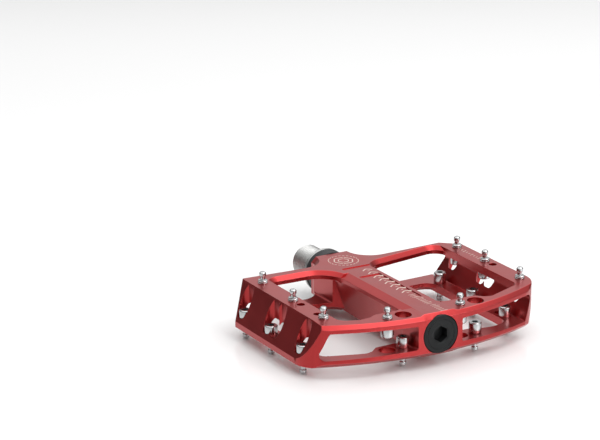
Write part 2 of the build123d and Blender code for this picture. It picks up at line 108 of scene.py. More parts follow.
def colour(label, text, red, green, blue):
    return FloatVectorProperty(name=label, description=text, subtype="COLOR", size=3,
                               min=0.0, max=1.0, default=(red, green, blue))


def share(label, text, value):
    return FloatProperty(name=label, description=text, default=value, min=0.0, max=1.0,
                         subtype="FACTOR")


class PlatformSettings(bpy.types.PropertyGroup):
    """The machined platform and its etched marks"""
    edge_round: size("Edge rounding", "Radius left on the machined edges", 0.16)
    sharp_angle: FloatProperty(name="Sharp angle", description="Edges that turn more are rounded",
                               default=radians(20), subtype="ANGLE")
    red: colour("Anodised red", "Dye of the anodised platform", 0.40, 0.011, 0.012)
    # Paler red on the rounded edges: partly edge wear, partly a painted highlight for the light
    # that the bevels catch.
    edge_wear_and_highlight_red: colour("Edge red", "Thinner, paler anodising on the edges", 0.56, 0.055, 0.060)
    satin: share("Satin", "Roughness of the blasted and anodised surface", 0.32)
    mark: colour("Etched mark", "Laser etched marks on the faces", 0.66, 0.50, 0.44)
    mark_height: size("Mark height", "How far an etched mark stands proud", 0.012)


class SteelSettings(bpy.types.PropertyGroup):
    """Axle and grip pins"""
    axle_thread: size("Axle thread pitch", "20 threads to the inch", 1.27)
    axle_depth: size("Axle thread depth", "Crest to root", 0.62)
    pin_thread: size("Pin thread pitch", "Coarse M4", 0.7)
    pin_depth: size("Pin thread depth", "Crest to root", 0.3)
    axle_grey: colour("Axle steel", "Turned steel of the axle", 0.56, 0.56, 0.55)
    pin_bright: colour("Pin steel", "Bright zinc on the grip pins", 0.56, 0.57, 0.575)
    segments: IntProperty(name="Segments", description="Steps round a turned piece",
                          default=96, min=24)
    pin_segments: IntProperty(name="Pin segments", description="Steps round a grip pin",
                              default=48, min=12)


class CapSettings(bpy.types.PropertyGroup):
    """End cap and seal"""
    black: colour("Cap black", "Black anodised end cap", 0.010, 0.011, 0.0115)
    rubber: colour("Seal black", "Rubber of the seal and the O-ring", 0.018, 0.018, 0.020)
    key_width: size("Key width", "Hexagon socket across flats", 6.0)
    key_depth: size("Key depth", "Depth of the cap's hexagon socket", 3.6)
    rim_round: size("Rim rounding", "Rounding of the cap's rim", 0.55)


class StudioSettings(bpy.types.PropertyGroup):
    """Floor, light and camera"""
    lens: FloatProperty(name="Lens", description="Focal length", default=153.8, unit="CAMERA")
    camera_at: FloatVectorProperty(name="Camera", description="Place of the camera", size=3,
                                   default=(0.5200, 0.8970, 0.3488), subtype="TRANSLATION",
                                   unit="LENGTH")
    floor_size: size("Floor", "Width of the floor", 8000.0)
    floor_white: share("Floor white", "Lightness of the floor", 0.86)
    horizon: share("Horizon", "Light from near the horizon", 0.08)
    zenith: FloatProperty(name="Overhead", description="Light from overhead", default=1.6)
    key_power: FloatProperty(name="Key light", description="Power of the front softbox",
                             default=4.0, unit="POWER")
    rim_power: FloatProperty(name="Rim light", description="Power of the overhead strip",
                             default=2.0, unit="POWER")
    sheen_power: FloatProperty(name="Sheen light", description="Power of the low back softbox",
                               default=1.1, unit="POWER")


def settings(group):
    return getattr(bpy.context.scene, group)


# --- meshes -----------------------------------------------------------------------------------
def finish_mesh(mesh, name, sharp=35.0):
    """Turns a bmesh into a piece at the origin, smooth except where it turns sharply."""
    bmesh.ops.remove_doubles(mesh, verts=mesh.verts, dist=TOUCH)
    bmesh.ops.recalc_face_normals(mesh, faces=mesh.faces)
    return link_mesh(mesh, name, sharp)


def link_mesh(mesh, name, sharp=35.0):
    for face in mesh.faces:
        face.smooth = True
    for edge in mesh.edges:
        edge.smooth = not (edge.is_manifold and edge.calc_face_angle(0) > radians(sharp))
    data = bpy.data.meshes.new(name)
    mesh.to_mesh(data)
    mesh.free()
    piece = bpy.data.objects.new(name, data)
    bpy.context.scene.collection.objects.link(piece)
    return piece


def spin(mesh, profile, steps):
    """Turns a profile of (radius, y) points about the Y axis; its ends stay open."""
    points = [mesh.verts.new((radius, y, 0.0)) for radius, y in profile]
    edges = [mesh.edges.new(pair) for pair in zip(points, points[1:])]
    bmesh.ops.spin(mesh, geom=points + edges, cent=(0, 0, 0), axis=(0, 1, 0), dvec=(0, 0, 0),
                   angle=2 * pi, steps=steps, use_merge=True, use_duplicate=False)
    bmesh.ops.remove_doubles(mesh, verts=mesh.verts, dist=TOUCH)


def rounded(corners, radius, steps=3):
    """Points of a profile with each corner (r, y, share of the rounding) cut round."""
    points = []
    for number, (r, y, scale) in enumerate(corners):
        here = Vector((r, y))
        if scale == 0:
            points.append((r, y))
            continue
        before = Vector(corners[number - 1][:2]) - here
        after = Vector(corners[number + 1][:2]) - here
        reach = min(radius * scale, before.length * 0.45, after.length * 0.45)
        start = here + before.normalized() * reach
        end = here + after.normalized() * reach
        for step in range(steps + 1):
            t = step / steps
            point = start * (1 - t) ** 2 + here * 2 * t * (1 - t) + end * t ** 2
            points.append((point.x, point.y))
    return points


def open_loop(mesh, y):
    """Boundary edges of a turned shape at height y."""
    return [edge for edge in mesh.edges if edge.is_boundary
            and all(abs(vert.co.y - y) < 1e-5 for vert in edge.verts)]


def hex_socket(mesh, y, width, depth, steps):
    """Closes the open end of a turned shape at y with a flat face round a hexagon socket."""
    rim = open_loop(mesh, y)
    turn = Matrix.Rotation(radians(90), 4, "X")
    made = bmesh.ops.create_circle(mesh, cap_ends=False, segments=6,
                                   radius=width / 2 / cos(pi / 6), matrix=turn)
    sides = list({edge for vert in made["verts"] for edge in vert.link_edges})
    split = bmesh.ops.subdivide_edges(mesh, edges=sides, cuts=steps // 6 - 1)
    hexagon = list({edge for edge in split["geom_inner"] + split["geom"]
                    if isinstance(edge, bmesh.types.BMEdge)})
    verts = list({vert for edge in hexagon for vert in edge.verts})
    bmesh.ops.translate(mesh, verts=verts, vec=(0, y, 0))
    bmesh.ops.bridge_loops(mesh, edges=rim + hexagon)
    walls = bmesh.ops.extrude_edge_only(mesh, edges=hexagon)["geom"]
    floor_verts = [item for item in walls if isinstance(item, bmesh.types.BMVert)]
    bmesh.ops.translate(mesh, verts=floor_verts, vec=(0, depth, 0))
    floor_edges = open_loop(mesh, y + depth)
    bmesh.ops.holes_fill(mesh, edges=floor_edges, sides=0)


def close_end(mesh, y):
    bmesh.ops.holes_fill(mesh, edges=open_loop(mesh, y), sides=0)


def helix(mesh, radius, pitch, depth, start, turns, steps):
    """A closed threaded rod about Y: crests reach radius, flats at both ends."""
    root = radius - depth
    shape = ((root, 0.0), (root, 0.10), (radius, 0.40), (radius, 0.58), (root, 0.88), (root, 1.0))
    points = [mesh.verts.new((r, start + t * pitch, 0.0)) for r, t in shape]
    edges = [mesh.edges.new(pair) for pair in zip(points, points[1:])]
    bmesh.ops.spin(mesh, geom=points + edges, cent=(0, 0, 0), axis=(0, 1, 0),
                   dvec=(0, pitch / steps, 0), angle=2 * pi * turns, steps=steps * turns,
                   use_merge=False, use_duplicate=False)
    bmesh.ops.remove_doubles(mesh, verts=mesh.verts, dist=TOUCH)


def cut_ends(mesh, low, high):
    """Cuts a rod about Y flat at both heights and closes it."""
    for y, side in ((low, -1), (high, 1)):
        geometry = mesh.verts[:] + mesh.edges[:] + mesh.faces[:]
        bmesh.ops.bisect_plane(mesh, geom=geometry, dist=1e-7, plane_co=(0, y, 0),
                               plane_no=(0, side, 0), clear_outer=True)
        close_end(mesh, y)


def taper(mesh, limit_at):
    """Pulls in each point that lies further from the Y axis than its height allows."""
    for vert in mesh.verts:
        radius = hypot(vert.co.x, vert.co.z)
        limit = limit_at(vert.co.y)
        if radius > limit:
            vert.co.x *= limit / radius
            vert.co.z *= limit / radius


def add_shell(mesh, shell):
    """Adds a closed shell to a mesh and frees it."""
    bmesh.ops.recalc_face_normals(shell, faces=shell.faces)
    data = bpy.data.meshes.new("shell")
    shell.to_mesh(data)
    shell.free()
    mesh.from_mesh(data)
    bpy.data.meshes.remove(data)


def place(mesh, matrix):
    bmesh.ops.transform(mesh, matrix=matrix, verts=mesh.verts)


# --- shader nodes -----------------------------------------------------------------------------
def add(tree, kind, **values):
    """A shader node; keyword values with a capital are its sockets, the others its settings."""
    node = tree.nodes.new(kind)
    for key, value in values.items():
        if key[0].isupper():
            node.inputs[key.replace("_", " ")].default_value = value
        else:
            setattr(node, key, value)
    return node


def new_group(name, inputs, outputs):
    """An empty node group with float inputs {name: default} and outputs {name: socket type}."""
    group = bpy.data.node_groups.new(name, "ShaderNodeTree")
    for label, default in inputs.items():
        socket = group.interface.new_socket(label, in_out="INPUT", socket_type="NodeSocketFloat")
        socket.default_value = default
    for label, kind in outputs.items():
        group.interface.new_socket(label, in_out="OUTPUT", socket_type=kind)
    return group, add(group, "NodeGroupInput"), add(group, "NodeGroupOutput")


def grain_group():
    """Fine blasted grain: a height for bump and a slow mottling, from Object coordinates."""
    if "Surface grain" in bpy.data.node_groups:
        return bpy.data.node_groups["Surface grain"]
    group, start, end = new_group("Surface grain", {"Grain scale": 2500.0, "Patch scale": 60.0},
                                  {"Height": "NodeSocketFloat", "Patches": "NodeSocketFloat"})
    where = add(group, "ShaderNodeTexCoord")
    fine = add(group, "ShaderNodeTexNoise", Detail=2.0, Roughness=0.6)
    slow = add(group, "ShaderNodeTexNoise", Detail=3.0, Roughness=0.55)
    join = group.links.new
    for noise, scale in ((fine, "Grain scale"), (slow, "Patch scale")):
        join(where.outputs["Object"], noise.inputs["Vector"])
        join(start.outputs[scale], noise.inputs["Scale"])
    join(fine.outputs["Fac"], end.inputs["Height"])
    join(slow.outputs["Fac"], end.inputs["Patches"])
    return group


def turning_group():
    """Tool marks of a lathe: rings along Y and on end faces."""
    if "Turning marks" in bpy.data.node_groups:
        return bpy.data.node_groups["Turning marks"]
    group, start, end = new_group("Turning marks", {"Rings per metre": 3500.0},
                                  {"Height": "NodeSocketFloat"})
    where = add(group, "ShaderNodeTexCoord")
    parts = add(group, "ShaderNodeSeparateXYZ")
    radius = add(group, "ShaderNodeVectorMath", operation="LENGTH")
    flat = add(group, "ShaderNodeVectorMath", operation="MULTIPLY")
    flat.inputs[1].default_value = (1, 0, 1)
    total = add(group, "ShaderNodeMath", operation="ADD")
    rings = add(group, "ShaderNodeTexNoise", noise_dimensions="1D", Detail=1.0)
    join = group.links.new
    join(where.outputs["Object"], parts.inputs["Vector"])
    join(where.outputs["Object"], flat.inputs[0])
    join(flat.outputs["Vector"], radius.inputs[0])
    join(parts.outputs["Y"], total.inputs[0])
    join(radius.outputs["Value"], total.inputs[1])
    join(total.outputs["Value"], rings.inputs["W"])
    join(start.outputs["Rings per metre"], rings.inputs["Scale"])
    join(rings.outputs["Fac"], end.inputs["Height"])
    return group


def use(tree, group, **values):
    node = tree.nodes.new("ShaderNodeGroup")
    node.node_tree = group
    for key, value in values.items():
        node.inputs[key.replace("_", " ")].default_value = value
    return node


def blend(tree, kind, first, second, mask):
    """A Mix node between two values or sockets, driven by a mask socket."""
    node = add(tree, "ShaderNodeMix", data_type=kind)
    slots = {"RGBA": ("A_Color", "B_Color"), "FLOAT": ("A_Float", "B_Float")}[kind]
    for slot, value in zip(slots, (first, second)):
        socket = next(item for item in node.inputs if item.identifier == slot)
        if isinstance(value, bpy.types.NodeSocket):
            tree.links.new(value, socket)
        else:
            socket.default_value = value
    tree.links.new(mask, node.inputs[0])
    end = {"RGBA": "Result_Color", "FLOAT": "Result_Float"}[kind]
    return next(item for item in node.outputs if item.identifier == end)


def spread(tree, source, low, high):
    """Stretches the middle of a noise, 0.3 to 0.7, over low to high."""
    node = add(tree, "ShaderNodeMapRange", clamp=True)
    for slot, value in zip(("From Min", "From Max", "To Min", "To Max"), (0.3, 0.7, low, high)):
        node.inputs[slot].default_value = value
    tree.links.new(source, node.inputs["Value"])
    return node.outputs["Result"]


def shade(rgb, factor):
    return tuple(min(1.0, part * factor) for part in rgb) + (1.0,)


def new_material(name, metallic, coat=0.0, coat_roughness=0.1, ior=1.5):
    """A material with a Principled BSDF whose uniform values are set on its own sockets."""
    material = bpy.data.materials.new(name)
    material.use_nodes = True
    shader = material.node_tree.nodes["Principled BSDF"]
    shader.inputs["Metallic"].default_value = metallic
    shader.inputs["Coat Weight"].default_value = coat
    shader.inputs["Coat Roughness"].default_value = coat_roughness
    shader.inputs["IOR"].default_value = ior
    return material, material.node_tree, shader


def bump(tree, shader, height, distance, strength=1.0):
    node = add(tree, "ShaderNodeBump", Strength=strength, Distance=distance)
    tree.links.new(height, node.inputs["Height"])
    tree.links.new(node.outputs["Normal"], shader.inputs["Normal"])
    return node


def anodised(name, rgb, edge_rgb, satin, grain=0.0000022):
    """Blasted, dyed and sealed aluminium: metallic, with a clear hard skin and paler edges, which
    are partly edge wear and partly a painted highlight.
    """
    material, tree, shader = new_material(name, 0.90, coat=0.6, coat_roughness=0.25)
    surface = use(tree, grain_group(), Grain_scale=2600.0, Patch_scale=90.0)
    # Paler red on the rounded edge strips, broken up by the patches: partly edge wear, partly a
    # painted highlight.
    edge_wear_and_highlight = add(tree, "ShaderNodeAttribute", attribute_name="edge")
    patchy = add(tree, "ShaderNodeMath", operation="MULTIPLY")
    tree.links.new(edge_wear_and_highlight.outputs["Fac"], patchy.inputs[0])
    tree.links.new(spread(tree, surface.outputs["Patches"], 0.25, 0.9), patchy.inputs[1])
    body = blend(tree, "RGBA", shade(rgb, 0.93), shade(rgb, 1.06), surface.outputs["Patches"])
    tint = blend(tree, "RGBA", body, shade(edge_rgb, 1.0), patchy.outputs["Value"])
    tree.links.new(tint, shader.inputs["Base Color"])
    rough = spread(tree, surface.outputs["Patches"], satin - 0.04, satin + 0.04)
    tree.links.new(rough, shader.inputs["Roughness"])
    bump(tree, shader, surface.outputs["Height"], grain)
    return material


def turned_metal(name, rgb, roughness, rings, ring_height, metallic=1.0, ior=1.5):
    """Metal from a lathe: rings of tool marks over a slight mottling."""
    material, tree, shader = new_material(name, metallic, ior=ior)
    marks = use(tree, turning_group(), Rings_per_metre=rings)
    surface = use(tree, grain_group(), Grain_scale=4000.0, Patch_scale=300.0)
    tint = blend(tree, "RGBA", shade(rgb, 0.86), shade(rgb, 1.06), surface.outputs["Patches"])
    tree.links.new(tint, shader.inputs["Base Color"])
    rough = blend(tree, "FLOAT", roughness - 0.05, roughness + 0.07, marks.outputs["Height"])
    tree.links.new(rough, shader.inputs["Roughness"])
    bump(tree, shader, marks.outputs["Height"], ring_height)
    return material


def moulded_rubber(name, rgb, roughness):
    material, tree, shader = new_material(name, 0.0, ior=1.45)
    surface = use(tree, grain_group(), Grain_scale=1800.0, Patch_scale=200.0)
    tint = blend(tree, "RGBA", shade(rgb, 0.8), shade(rgb, 1.5), surface.outputs["Patches"])
    tree.links.new(tint, shader.inputs["Base Color"])
    rough = spread(tree, surface.outputs["Patches"], roughness - 0.06, roughness + 0.08)
    tree.links.new(rough, shader.inputs["Roughness"])
    bump(tree, shader, surface.outputs["Height"], 0.000006)
    return material


def etched(name, rgb):
    """Laser etched oxide: pale, dry and finely pitted."""
    material, tree, shader = new_material(name, 0.15)
    surface = use(tree, grain_group(), Grain_scale=7000.0, Patch_scale=900.0)
    tint = blend(tree, "RGBA", shade(rgb, 0.8), shade(rgb, 1.0), surface.outputs["Patches"])
    tree.links.new(tint, shader.inputs["Base Color"])
    tree.links.new(spread(tree, surface.outputs["Height"], 0.5, 0.75), shader.inputs["Roughness"])
    bump(tree, shader, surface.outputs["Height"], 0.000004)
    return material


def dress(piece, material, slot_name, body, *nodes):
    """Gives a piece its material and its CAD body, and hides the CAD nodes that it stands for; the
    slot name is not used.
    """
    piece.data.materials.clear()
    piece.data.materials.append(material)
    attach(piece, body)
    if nodes:
        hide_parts(*nodes)


# --- the platform -----------------------------------------------------------------------------
def merged_copy(node):
    """The CAD node's surface as one closed mesh with whole flat faces."""
    mesh = bmesh.new()
    mesh.from_mesh(node.data)
    bmesh.ops.remove_doubles(mesh, verts=mesh.verts, dist=TOUCH)
    bmesh.ops.dissolve_limit(mesh, angle_limit=FLAT, verts=mesh.verts, edges=mesh.edges)
    return mesh


def crowded(edges, reach):
    """Edges with another sharp edge alongside, nearer than reach, which stay unrounded."""
    samples = []
    for edge in edges:
        start, end = (vert.co for vert in edge.verts)
        count = max(1, int((end - start).length / CROWD_STEP))
        samples += [(start.lerp(end, step / count), edge) for step in range(count + 1)]
    tree = KDTree(len(samples))
    for number, (point, edge) in enumerate(samples):
        tree.insert(point, number)
    tree.balance()
    found = set()
    for point, edge in samples:
        start, end = (vert.co for vert in edge.verts)
        along = (end - start).normalized()
        for other_point, number, distance in tree.find_range(point, reach):
            other = samples[number][1]
            if other is edge or set(other.verts) & set(edge.verts):
                continue
            across = (other_point - point) - along * (other_point - point).dot(along)
            other_along = (other.verts[1].co - other.verts[0].co).normalized()
            if across.length > reach * CROWD_NEAR and abs(other_along.dot(along)) > 0.5:
                found.add(edge)
                break
    return found


def settle(mesh, surface, reach):
    """Moves any point that strayed from the machined surface back onto it."""
    for vert in mesh.verts:
        point, normal, face, distance = surface.find_nearest(vert.co)
        if distance > reach:
            vert.co = point
    bmesh.ops.dissolve_degenerate(mesh, dist=1e-6, edges=mesh.edges)


def folds(mesh, surface):
    """Places where a face was folded over or left the machined surface."""
    places = []
    for loops in mesh.calc_loop_triangles():
        one, two, three = (loop.vert.co for loop in loops)
        across = (two - one).cross(three - one)
        if across.length < 2 * FOLD_AREA:
            continue
        middle = (one + two + three) / 3
        point, normal, face, distance = surface.find_nearest(middle)
        if distance > FOLD_LIFT or across.normalized().dot(normal) < FOLD_TURN:
            places += [one.copy(), two.copy(), three.copy(), middle]
    return places


def near_folds(edges, places, reach):
    """Indices of the edges that pass nearer than reach to one of these places."""
    tree = KDTree(len(places))
    for number, point in enumerate(places):
        tree.insert(point, number)
    tree.balance()
    found = []
    for edge in edges:
        start, end = (vert.co for vert in edge.verts)
        count = max(1, int((end - start).length / reach))
        steps = [start.lerp(end, step / count) for step in range(count + 1)]
        if min(tree.find(point)[2] for point in steps) < reach:
            found.append(edge.index)
    return found


def round_edges(node, values, left_out):
    """The node's mesh with its sharp edges rounded, and the indices of edges at its folds."""
    mesh = merged_copy(node)
    mesh.edges.index_update()
    surface = BVHTree.FromBMesh(mesh)
    edge_wear_and_highlight = mesh.faces.layers.float.new("edge")
    sharp = [edge for edge in mesh.edges
             if edge.is_manifold and edge.calc_face_angle(0) > values.sharp_angle]
    narrow = crowded(sharp, values.edge_round * 3)
    chosen = [edge for edge in sharp if edge not in narrow and edge.index not in left_out]
    untouched = merged_copy(node)
    untouched.edges.index_update()
    made = bmesh.ops.bevel(mesh, geom=chosen, offset=values.edge_round, offset_type="OFFSET",
                           segments=2, profile=0.5, affect="EDGES", material=-1,
                           clamp_overlap=False, loop_slide=True)
    # The rounding's strips are marked for the paler edge red, which is partly wear and partly a
    # painted highlight.
    for face in made["faces"]:
        face[edge_wear_and_highlight] = 1.0
    settle(mesh, surface, values.edge_round * 0.6)
    places = folds(mesh, surface)
    bad = near_folds(untouched.edges, places, FOLD_REACH) if places else []
    untouched.free()
    return mesh, bad


class PEDAL_OT_platform(bpy.types.Operator):
    """Platform: the machined body with a fine rounding on its edges"""
    bl_idname = "pedal.platform"
    bl_label = "Platform"

    def execute(self, context):
        values = settings("pedal_platform")
        node = NODES["pedal_body"]
        left_out = set()
        for attempt in range(ROUNDING_TRIES):
            mesh, bad = round_edges(node, values, left_out)
            if attempt == ROUNDING_TRIES - 1 or not set(bad) - left_out:
                break
            left_out |= set(bad)
            mesh.free()
        piece = link_mesh(mesh, "platform_machined", sharp=32.0)
        even = piece.modifiers.new("Even shading", "WEIGHTED_NORMAL")
        even.keep_sharp = True
        even.weight = 80
        finish = anodised("red_anodised", values.red, values.edge_wear_and_highlight_red, values.satin)
        dress(piece, finish, "body_red_anodised", PLATFORM, "pedal_body")
        return {"FINISHED"}


# --- etched marks -----------------------------------------------------------------------------
TICKS, TICKS_TOP, TICK_PITCH = 17, 91.2, 1.5                    # places are in millimetres
CHEVRONS, CHEVRONS_TOP, CHEVRON_PITCH = 8, 62.6, 4.4
CHEVRON_X, CHEVRON_LEAN = -2.6, radians(38)
LIP_DASHES, LIP_DASHES_TOP, LIP_DASH_PITCH = 9, 43.6, 1.85
LIP_DASH_LEAN = radians(18)
RINGS = ((6.4, 24, 0.4, 0.62), (4.4, 6, 0.5, 0.9), (2.4, 6, 0.45, 0.9))
MARK_SINK = 0.01 * MM            # how far a mark's foot is sunk into the face


def mark_plate(mesh, corners, height):
    """A thin plate with these (x, y) corners, laid at height 0."""
    face = mesh.faces.new([mesh.verts.new((x, y, 0.0)) for x, y in corners])
    top = bmesh.ops.extrude_face_region(mesh, geom=[face])["geom"]
    lifted = [item for item in top if isinstance(item, bmesh.types.BMVert)]
    bmesh.ops.translate(mesh, verts=lifted, vec=(0, 0, height))


def bar(mesh, x, y, length, width, height, turn=0.0):
    """A bar centred on x, y; turned by an angle about Z."""
    corners = []
    for across, along in ((-1, -1), (1, -1), (1, 1), (-1, 1)):
        dx, dy = across * length / 2, along * width / 2
        corners.append((x + dx * cos(turn) - dy * sin(turn), y + dx * sin(turn) + dy * cos(turn)))
    mark_plate(mesh, corners, height)


def ring_marks(mesh, x, y, radius, sides, width, height, share_on=0.8, turn=0.0):
    """Bars along the sides of a regular figure."""
    side = 2 * radius * sin(pi / sides)
    reach = radius * cos(pi / sides)
    for number in range(sides):
        angle = turn + 2 * pi * number / sides
        bar(mesh, x + reach * cos(angle), y + reach * sin(angle), side * share_on, width, height,
            angle + pi / 2)


def face_marks(height):
    """All marks of face A, flat at height 0, in metres."""
    mesh = bmesh.new()
    thin, bold = 0.32 * MM, 0.55 * MM
    for number in range(TICKS):
        length = (2.6 if number % 4 else 3.4) * MM
        y = (TICKS_TOP - TICK_PITCH * number) * MM
        bar(mesh, -1.0 * MM - length / 2, y, length, thin, height)
    for number in range(CHEVRONS):
        y = (CHEVRONS_TOP - CHEVRON_PITCH * number) * MM
        for side in (-1, 1):
            x = (CHEVRON_X + 1.15 * side) * MM
            bar(mesh, x, y, 2.9 * MM, bold, height, side * CHEVRON_LEAN)
        bar(mesh, CHEVRON_X * MM, y + 1.7 * MM, 1.1 * MM, thin, height)
    for radius, sides, width, filled in RINGS:
        ring_marks(mesh, 0.2 * MM, 17.6 * MM, radius * MM, sides, width * MM, height, filled,
                   pi / 6)
    for number in range(LIP_DASHES):
        length = (1.3 if number % 3 else 2.3) * MM
        y = (LIP_DASHES_TOP - LIP_DASH_PITCH * number) * MM
        bar(mesh, -50.7 * MM, y, length, thin, height, LIP_DASH_LEAN)
    return mesh


def lay_on(mesh, surface, sink):
    """Drops each plate onto the surface below it."""
    above = 50 * MM
    down = Vector((0, 0, -1))
    for vert in mesh.verts:
        hit = surface.ray_cast(Vector((vert.co.x, vert.co.y, above)), down)[0]
        if hit is None:
            raise RuntimeError("an etched mark lies off the platform")
        vert.co.z += hit.z - sink


class PEDAL_OT_marks(bpy.types.Operator):
    """Etched marks: plain ticks, chevrons and a ring figure on both faces"""
    bl_idname = "pedal.marks"
    bl_label = "Etched marks"

    def execute(self, context):
        values = settings("pedal_platform")
        body = merged_copy(NODES["pedal_body"])
        surface = BVHTree.FromBMesh(body)
        body.free()
        finish = etched("laser_etched", values.mark)
        for face_name, turn in (("a", 0.0), ("b", pi)):
            mesh = face_marks(values.mark_height + MARK_SINK)
            lay_on(mesh, surface, MARK_SINK)
            place(mesh, Matrix.Rotation(turn, 4, "Y"))
            piece = finish_mesh(mesh, "etched_marks_" + face_name, sharp=30.0)
            dress(piece, finish, "body_red_anodised", PLATFORM)
        return {"FINISHED"}


# --- axle -------------------------------------------------------------------------------------
THREAD_R = 7.144 * MM
FLANGE_R = 9.6 * MM
JOURNAL_R = 6.0 * MM
SHAFT_R = 4.5 * MM
BEARING_SEAT_R = 4.0 * MM
NUT_THREAD_R = 3.5 * MM
FLANGE = 1.7 * MM                # end of the flange; the places below are along Y too
JOURNAL_END = 23.5 * MM
SHAFT_START = 35.5 * MM
SEAT_START = 70.5 * MM
SEAT_END = 78.5 * MM
AXLE_KEY_WIDTH = 6.0 * MM
AXLE_KEY_DEPTH = 9.0 * MM
THREAD_SINK = 0.02 * MM          # how far the thread's end lies behind the axle's end
THREAD_RUNOUT = 0.5 * MM
THREAD_LEAD_IN = 0.9 * MM


class PEDAL_OT_axle(bpy.types.Operator):
    """Axle: turned steel with its crank thread, whose flat end covers the key socket"""
    bl_idname = "pedal.axle"
    bl_label = "Axle"

    def execute(self, context):
        values = settings("pedal_steel")
        low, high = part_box("axle")
        start, end = low.y, high.y
        core = THREAD_R - values.axle_depth - 0.03 * MM
        corners = [
            (core - 0.6 * MM, start, 0), (core, start + 0.6 * MM, 0),
            (core, -1.6 * MM, 0), (core + 0.1 * MM, -1.4 * MM, 0), (core + 0.1 * MM, -0.02 * MM, 0),
            (8.3 * MM, 0.0, 1), (FLANGE_R, 0.5 * MM, 1), (FLANGE_R, FLANGE, 1),
            (JOURNAL_R, FLANGE, 0), (JOURNAL_R, JOURNAL_END, 1), (SHAFT_R, SHAFT_START, 1),
            (SHAFT_R + 0.4 * MM, SEAT_START, 0), (BEARING_SEAT_R, SEAT_START, 0),
            (BEARING_SEAT_R, SEAT_END, 0), (NUT_THREAD_R, SEAT_END, 0),
            (NUT_THREAD_R, end - 0.5 * MM, 0), (NUT_THREAD_R - 0.5 * MM, end, 0),
        ]
        mesh = bmesh.new()
        spin(mesh, rounded(corners, 0.22 * MM), values.segments)
        hex_socket(mesh, start, AXLE_KEY_WIDTH, AXLE_KEY_DEPTH, values.segments)
        close_end(mesh, end)
        bmesh.ops.recalc_face_normals(mesh, faces=mesh.faces)
        thread = bmesh.new()
        turns = int((-start) / values.axle_thread) + 3
        helix(thread, THREAD_R, values.axle_thread, values.axle_depth,
              start - 1.5 * values.axle_thread, turns, values.segments)
        cut_ends(thread, start + THREAD_SINK, -THREAD_RUNOUT)
        taper(thread, lambda y: THREAD_R - THREAD_LEAD_IN + max(0.0, y - start))
        add_shell(mesh, thread)
        piece = link_mesh(mesh, "axle_turned", sharp=32.0)
        finish = turned_metal("axle_steel_turned", values.axle_grey, 0.34, 2600.0, 0.000012)
        dress(piece, finish, "axle_steel", AXLE_GROUP, "axle")
        return {"FINISHED"}


# --- grip pins --------------------------------------------------------------------------------
PIN_HEAD_R = 2.65 * MM
PIN_HEAD = 4.4 * MM
PIN_SCREW_R = 2.0 * MM
PIN_NECK_R = 1.05 * MM
PIN_TIP_R = 1.4 * MM
PIN_TIP = 1.8 * MM
PIN_NECK = 1.5 * MM
PIN_BASE = 1.3 * MM
PIN_KEY_WIDTH = 2.5 * MM
PIN_KEY_DEPTH = 2.2 * MM
PIN_RUNOUT = 0.12 * MM           # where the pin's thread stops short of its neck
PIN_THREAD_BELOW = 1.2 * MM      # length of modelled thread below the pin's base
PIN_TURN = radians(37)           # each pin is screwed in to another angle


def grip_pin(values, length):
    """A pin along Y: the key end of its head at 0, its tip at length."""
    steps = values.pin_segments
    core = PIN_SCREW_R - values.pin_depth
    screw_top = length - PIN_TIP - PIN_NECK
    neck_top = length - PIN_TIP
    corners = [
        (PIN_HEAD_R - 0.35 * MM, 0.0, 0), (PIN_HEAD_R, 0.35 * MM, 1), (PIN_HEAD_R, PIN_HEAD, 1),
        (core, PIN_HEAD, 0), (core, screw_top - 0.1 * MM, 0), (PIN_NECK_R, screw_top, 1),
        (PIN_NECK_R, neck_top - 0.25 * MM, 1), (PIN_TIP_R, neck_top, 1),
        (PIN_TIP_R, length - 0.5 * MM, 1), (PIN_TIP_R - 0.5 * MM, length, 1), (0.0, length, 0),
    ]
    mesh = bmesh.new()
    spin(mesh, rounded(corners, 0.16 * MM, steps=2), steps)
    hex_socket(mesh, 0.0, PIN_KEY_WIDTH, PIN_KEY_DEPTH, steps)
    bmesh.ops.recalc_face_normals(mesh, faces=mesh.faces)
    thread = bmesh.new()
    bottom = screw_top - PIN_BASE - PIN_THREAD_BELOW
    turns = int((screw_top - bottom) / values.pin_thread) + 3
    helix(thread, PIN_SCREW_R, values.pin_thread, values.pin_depth,
          bottom - 1.5 * values.pin_thread, turns, steps)
    cut_ends(thread, bottom, screw_top - PIN_RUNOUT)
    taper(thread, lambda y: core + PIN_RUNOUT + max(0.0, screw_top - PIN_RUNOUT - y) * 1.2)
    add_shell(mesh, thread)
    return mesh


class PEDAL_OT_grip_pins(bpy.types.Operator):
    """Grip pins: screwed in from behind, key socket in the head, turned tip"""
    bl_idname = "pedal.grip_pins"
    bl_label = "Grip pins"

    def execute(self, context):
        values = settings("pedal_steel")
        finish = turned_metal("pin_steel_bright", values.pin_bright, 0.22, 5200.0, 0.000006)
        stand_up = Matrix.Rotation(radians(90), 4, "X")
        for number, name in enumerate(sorted(PIN_NAMES)):
            low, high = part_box(name)
            mesh = grip_pin(values, high.z - low.z)
            own_turn = Matrix.Rotation(PIN_TURN * number, 4, "Z")
            over = "_b_" in name
            turn = Matrix.Rotation(pi, 4, "Y") if over else Matrix.Identity(4)
            seat = Vector(((low.x + high.x) / 2, (low.y + high.y) / 2, high.z if over else low.z))
            place(mesh, Matrix.Translation(seat) @ turn @ own_turn @ stand_up)
            piece = link_mesh(mesh, name + "_turned", sharp=32.0)
            dress(piece, finish, "pin_steel", PLATFORM, name)
        return {"FINISHED"}


# --- end cap and seal -------------------------------------------------------------------------
CAP_HEAD = 2.4 * MM              # thickness of the cap's head
CAP_RIM = 0.6 * MM               # how far the head stands past the screw
CAP_RELIEF = 0.8 * MM            # undercut below the head
CAP_DISH = 0.16 * MM             # countersink round the cap's socket
CAP_STEPS = 96                   # steps round the cap and the seal
SEAL_HUB = 7.1 * MM              # where the hub's face meets the seal
SEAL_SPIGOT_R = 7.8 * MM
LIP_GROOVE = 0.45 * MM           # depth of the groove between the seal's lips


